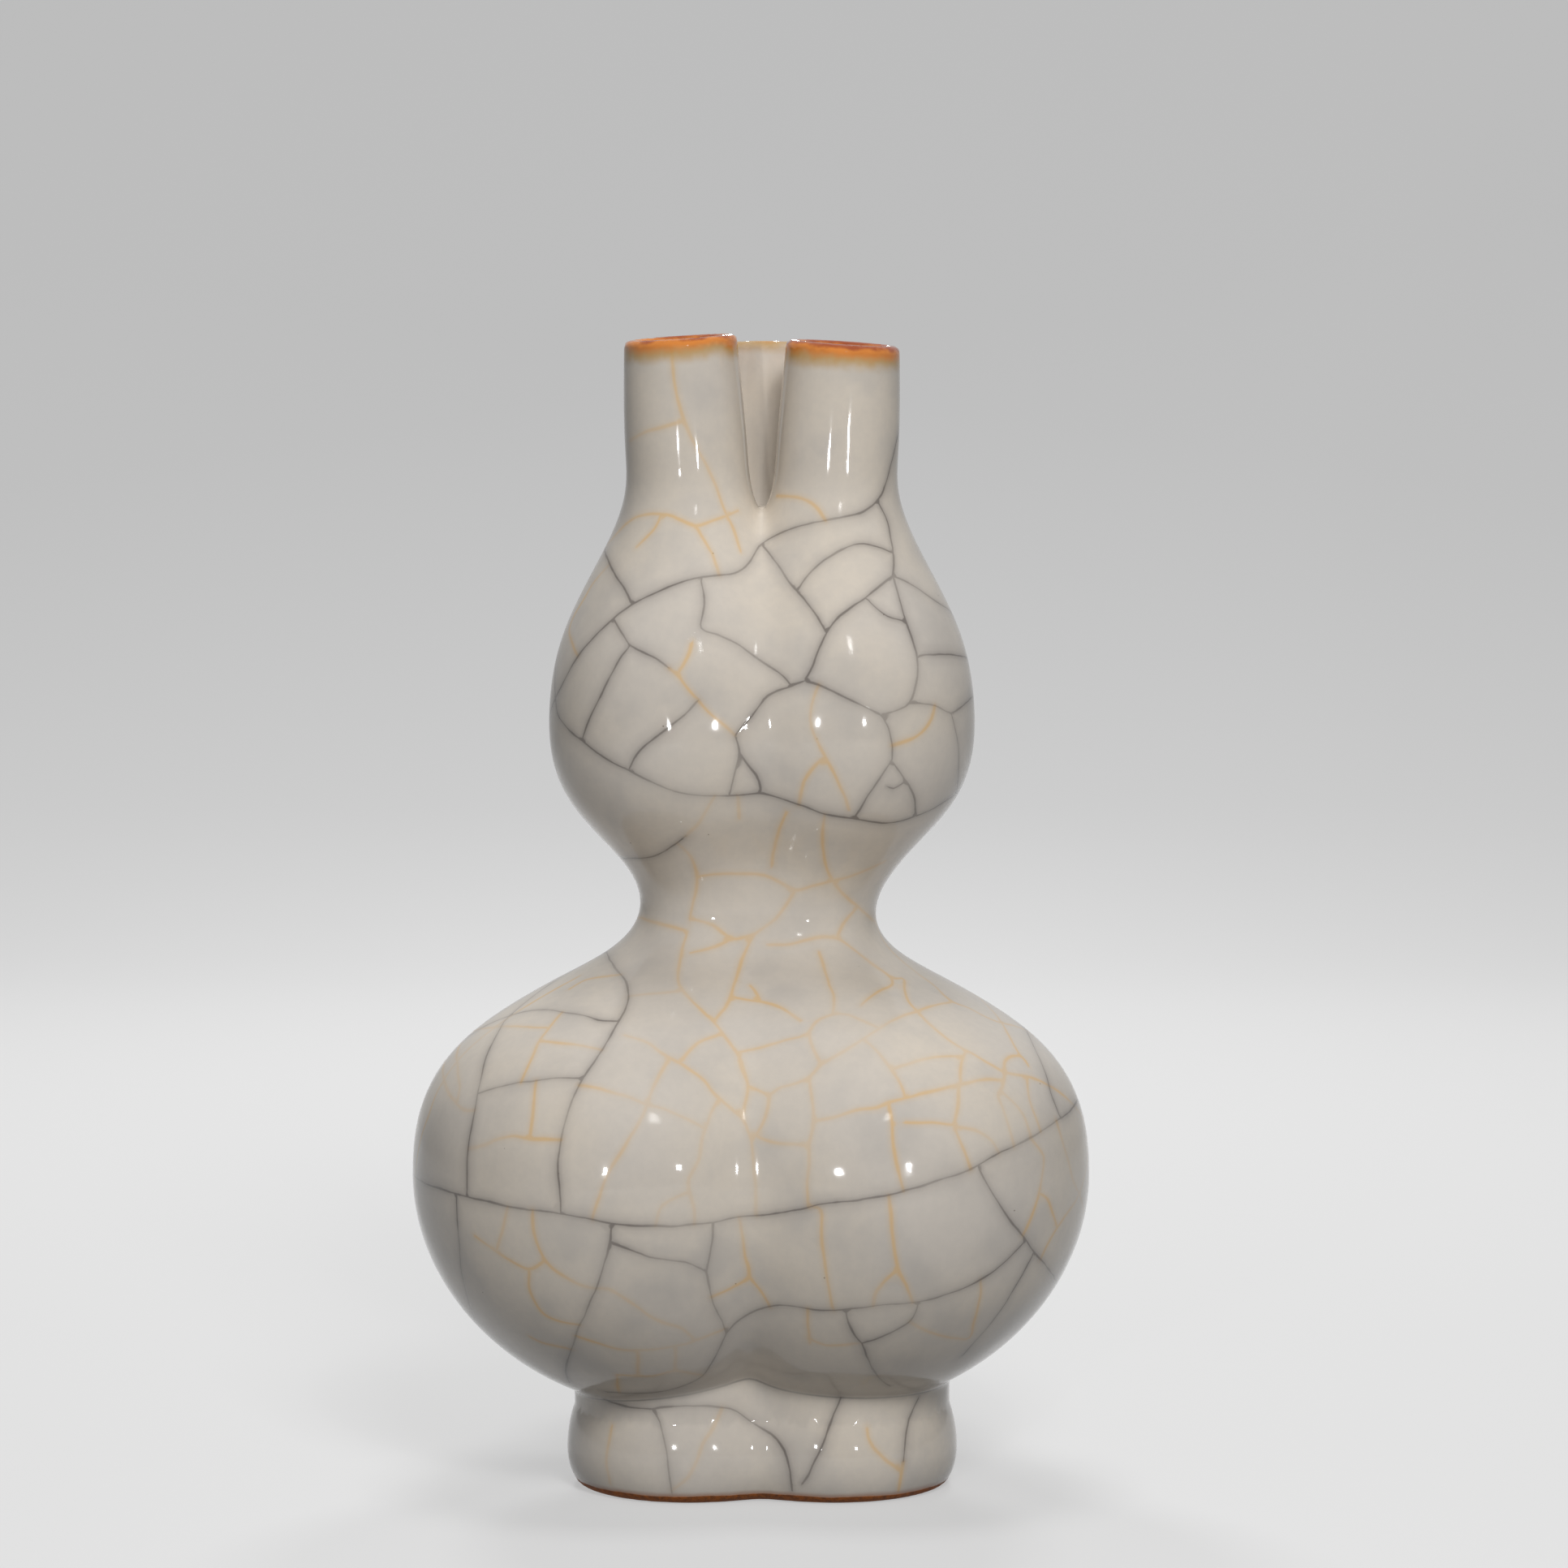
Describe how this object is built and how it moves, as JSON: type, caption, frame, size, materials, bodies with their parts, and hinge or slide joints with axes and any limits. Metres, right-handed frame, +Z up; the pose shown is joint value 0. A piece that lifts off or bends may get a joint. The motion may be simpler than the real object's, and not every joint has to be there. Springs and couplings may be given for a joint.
{
  "type": "conjoined gourd vase",
  "caption": "Crackle-glazed vase of joined double gourds on a shared lobed foot, with separate open necks for stems.",
  "frame": {"origin": "middle of the outline seen from above, on the surface that the vase stands on", "axes": "+Z up along the necks, front of the vase with two gourds towards -Y, third gourd towards +Y, +X to the right seen from the front"},
  "size_m": [0.1238, 0.118, 0.2114],
  "materials": {
    "crackled_glaze": "thick glossy pale warm-grey glaze with a wide dark crackle and a fine golden crackle",
    "dressed_mouth": "thin glossy glaze over a brown wash, red-brown on top and fading to ochre below",
    "bare_clay": "unglazed iron-brown fired clay, matt and slightly gritty"
  },
  "bodies": {
    "root": {"left_lower_bulb": "crackled_glaze", "left_upper_bulb": "crackled_glaze", "left_neck": "crackled_glaze", "left_mouth_lip": "dressed_mouth", "right_lower_bulb": "crackled_glaze", "right_upper_bulb": "crackled_glaze", "right_neck": "crackled_glaze", "right_mouth_lip": "dressed_mouth", "rear_lower_bulb": "crackled_glaze", "rear_upper_bulb": "crackled_glaze", "rear_neck": "crackled_glaze", "rear_mouth_lip": "dressed_mouth", "foot_wall": "crackled_glaze", "foot_floor": "crackled_glaze", "foot_rim": "bare_clay"}
  },
  "joints": []
}
